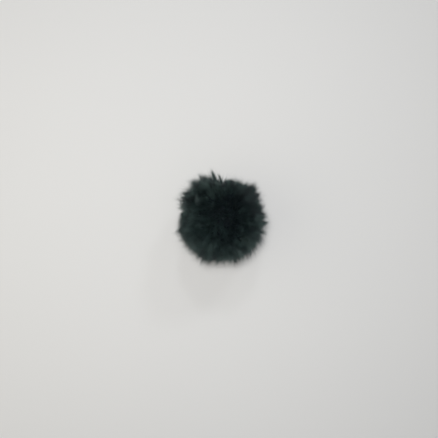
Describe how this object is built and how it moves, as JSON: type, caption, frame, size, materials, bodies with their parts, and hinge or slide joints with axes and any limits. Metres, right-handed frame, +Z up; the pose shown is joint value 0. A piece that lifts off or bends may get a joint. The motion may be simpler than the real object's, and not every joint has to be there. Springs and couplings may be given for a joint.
{
  "type": "fur pom pom",
  "caption": "Round pom pom of dense dyed fur whose locks fan out on every side, with a small flat foot to rest on.",
  "frame": {"origin": "on the surface that the ball rests on, under the middle of the ball, at the end of the lock that stands straight down", "axes": "+Z up, +Y towards the side where the longest tuft stands out, +X to the right with that tuft at the back"},
  "size_m": [0.0819, 0.0868, 0.0788],
  "materials": {
    "fur": "dense dyed fur, very dark bottle green, soft sheen on the tips"
  },
  "bodies": {
    "root": {"fur_ball": "fur"}
  },
  "joints": []
}
